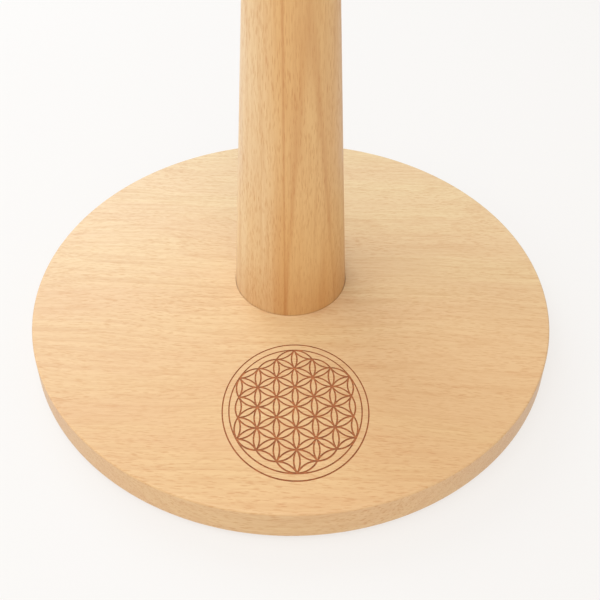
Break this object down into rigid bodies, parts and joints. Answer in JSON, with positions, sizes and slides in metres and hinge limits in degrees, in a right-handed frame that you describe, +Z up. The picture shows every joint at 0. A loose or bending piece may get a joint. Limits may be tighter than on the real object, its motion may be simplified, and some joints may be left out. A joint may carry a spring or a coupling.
{
  "type": "paper towel holder",
  "caption": "Free-standing wooden paper towel holder: a round board with a turned upright post that screws into a threaded insert below.",
  "frame": {"origin": "centre of the round footprint, on the surface that the holder stands on", "axes": "+Z up along the post; -Y towards the engraved side of the board; the board's grain runs along X"},
  "size_m": [0.18, 0.18, 0.315],
  "materials": {
    "board_wood": "oiled beech, fine sanded",
    "burnt_wood": "shallow burnt engraving in beech",
    "post_wood": "oiled beech, turned and fine sanded",
    "zinc_steel": "zinc-plated, slightly dull",
    "pad_felt": "pressed felt"
  },
  "bodies": {
    "board": {"base_board": "board_wood", "tee_nut": "zinc_steel", "foot_pad_1": "pad_felt", "foot_pad_2": "pad_felt", "foot_pad_3": "pad_felt", "foot_pad_4": "pad_felt"},
    "stud": {"post_stud": "zinc_steel"},
    "upright": {"post": "post_wood"}
  },
  "joints": [
    {"name": "stud_lift", "type": "slide", "parent": "board", "child": "stud", "axis": [0, 0, 1], "range_m": [0, 0.0076]},
    {"name": "post_unscrew", "type": "hinge", "parent": "stud", "child": "upright", "pos_m": [0, 0, 0.0115], "axis": [0, 0, 1], "range_deg": [0, 2160]}
  ],
  "couplings": [
    {"joint": "stud_lift", "follows": "post_unscrew", "m_per_rad": 0.00019894}
  ]
}
